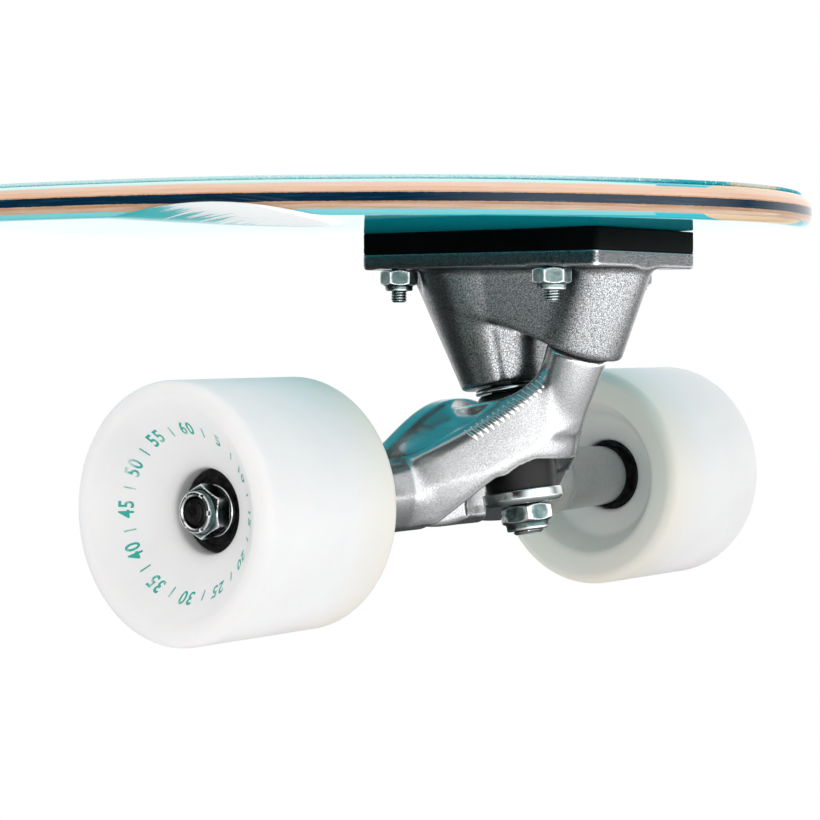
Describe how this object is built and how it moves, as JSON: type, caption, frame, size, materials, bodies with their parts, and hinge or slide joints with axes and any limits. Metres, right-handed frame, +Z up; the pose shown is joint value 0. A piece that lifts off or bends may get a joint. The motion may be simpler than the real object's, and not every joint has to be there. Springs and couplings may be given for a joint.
{
  "type": "surfskate",
  "caption": "Short surf-style skateboard: laminated deck with kicked tail, sprung carving trucks front and rear, wide white urethane wheels on ball bearings.",
  "frame": {"origin": "on the floor under the middle of the board's bounding box", "axes": "+X towards the nose, +Y to the board's left, +Z up"},
  "size_m": [0.7991, 0.2428, 0.15],
  "materials": {
    "lacquered_maple": "glossy lacquer over maple veneers, painted faces",
    "grip": "clear mineral grit over the printed top",
    "black_rubber": "smooth black",
    "cast_aluminium": "sandy as-cast, tumbled edges",
    "hanger_aluminium": "fine satin, polished edges",
    "zinc_steel": "bright zinc plating",
    "black_urethane": "smooth semi-gloss",
    "white_urethane": "matte white",
    "bearing_steel": "dark shields in ground steel races"
  },
  "bodies": {
    "board": {"deck": "lacquered_maple", "front_baseplate": "cast_aluminium", "front_bolt_inner_a": "zinc_steel", "front_bolt_inner_b": "zinc_steel", "front_bolt_outer_a": "zinc_steel", "front_bolt_outer_b": "zinc_steel", "front_kingpin": "zinc_steel", "front_kingpin_nut": "zinc_steel", "front_lock_nut_inner_a": "zinc_steel", "front_lock_nut_inner_b": "zinc_steel", "front_lock_nut_outer_a": "zinc_steel", "front_lock_nut_outer_b": "zinc_steel", "front_lower_bushing": "black_urethane", "front_lower_washer": "zinc_steel", "front_pivot_cup": "black_urethane", "front_riser_pad": "black_rubber", "front_upper_bushing": "black_urethane", "front_upper_washer": "zinc_steel", "grip_sheet": "grip", "rear_baseplate": "cast_aluminium", "rear_bolt_inner_a": "zinc_steel", "rear_bolt_inner_b": "zinc_steel", "rear_bolt_outer_a": "zinc_steel", "rear_bolt_outer_b": "zinc_steel", "rear_kingpin": "zinc_steel", "rear_kingpin_nut": "zinc_steel", "rear_lock_nut_inner_a": "zinc_steel", "rear_lock_nut_inner_b": "zinc_steel", "rear_lock_nut_outer_a": "zinc_steel", "rear_lock_nut_outer_b": "zinc_steel", "rear_lower_bushing": "black_urethane", "rear_lower_washer": "zinc_steel", "rear_pivot_cup": "black_urethane", "rear_riser_pad": "black_rubber", "rear_upper_bushing": "black_urethane", "rear_upper_washer": "zinc_steel"},
    "front_steering": {"front_axle": "zinc_steel", "front_hanger": "hanger_aluminium", "front_left_axle_nut": "zinc_steel", "front_left_bearing_spacer": "zinc_steel", "front_right_axle_nut": "zinc_steel", "front_right_bearing_spacer": "zinc_steel"},
    "rear_steering": {"rear_axle": "zinc_steel", "rear_hanger": "hanger_aluminium", "rear_left_axle_nut": "zinc_steel", "rear_left_bearing_spacer": "zinc_steel", "rear_right_axle_nut": "zinc_steel", "rear_right_bearing_spacer": "zinc_steel"},
    "front_left_wheel": {"front_left_inner_bearing": "bearing_steel", "front_left_outer_bearing": "bearing_steel", "front_left_wheel": "white_urethane"},
    "front_right_wheel": {"front_right_inner_bearing": "bearing_steel", "front_right_outer_bearing": "bearing_steel", "front_right_wheel": "white_urethane"},
    "rear_left_wheel": {"rear_left_inner_bearing": "bearing_steel", "rear_left_outer_bearing": "bearing_steel", "rear_left_wheel": "white_urethane"},
    "rear_right_wheel": {"rear_right_inner_bearing": "bearing_steel", "rear_right_outer_bearing": "bearing_steel", "rear_right_wheel": "white_urethane"}
  },
  "joints": [
    {"name": "front_steer", "type": "hinge", "parent": "board", "child": "front_steering", "pos_m": [0.3172, 0, 0.04987], "axis": [0.6035, 0, 0.7973], "range_deg": [-20, 20], "stiffness_Nm_per_rad": 60, "deforming": ["front_upper_bushing", "front_lower_bushing", "front_pivot_cup"]},
    {"name": "rear_steer", "type": "hinge", "parent": "board", "child": "rear_steering", "pos_m": [-0.19616, 0, 0.04987], "axis": [-0.6035, 0, 0.7973], "range_deg": [-20, 20], "stiffness_Nm_per_rad": 60, "deforming": ["rear_upper_bushing", "rear_lower_bushing", "rear_pivot_cup"]},
    {"name": "front_left_spin", "type": "hinge", "parent": "front_steering", "child": "front_left_wheel", "pos_m": [0.295, 0.0949, 0.0345], "axis": [0, 1, 0], "continuous": true},
    {"name": "front_right_spin", "type": "hinge", "parent": "front_steering", "child": "front_right_wheel", "pos_m": [0.295, -0.0949, 0.0345], "axis": [0, 1, 0], "continuous": true},
    {"name": "rear_left_spin", "type": "hinge", "parent": "rear_steering", "child": "rear_left_wheel", "pos_m": [-0.17396, 0.0949, 0.0345], "axis": [0, 1, 0], "continuous": true},
    {"name": "rear_right_spin", "type": "hinge", "parent": "rear_steering", "child": "rear_right_wheel", "pos_m": [-0.17396, -0.0949, 0.0345], "axis": [0, 1, 0], "continuous": true}
  ]
}
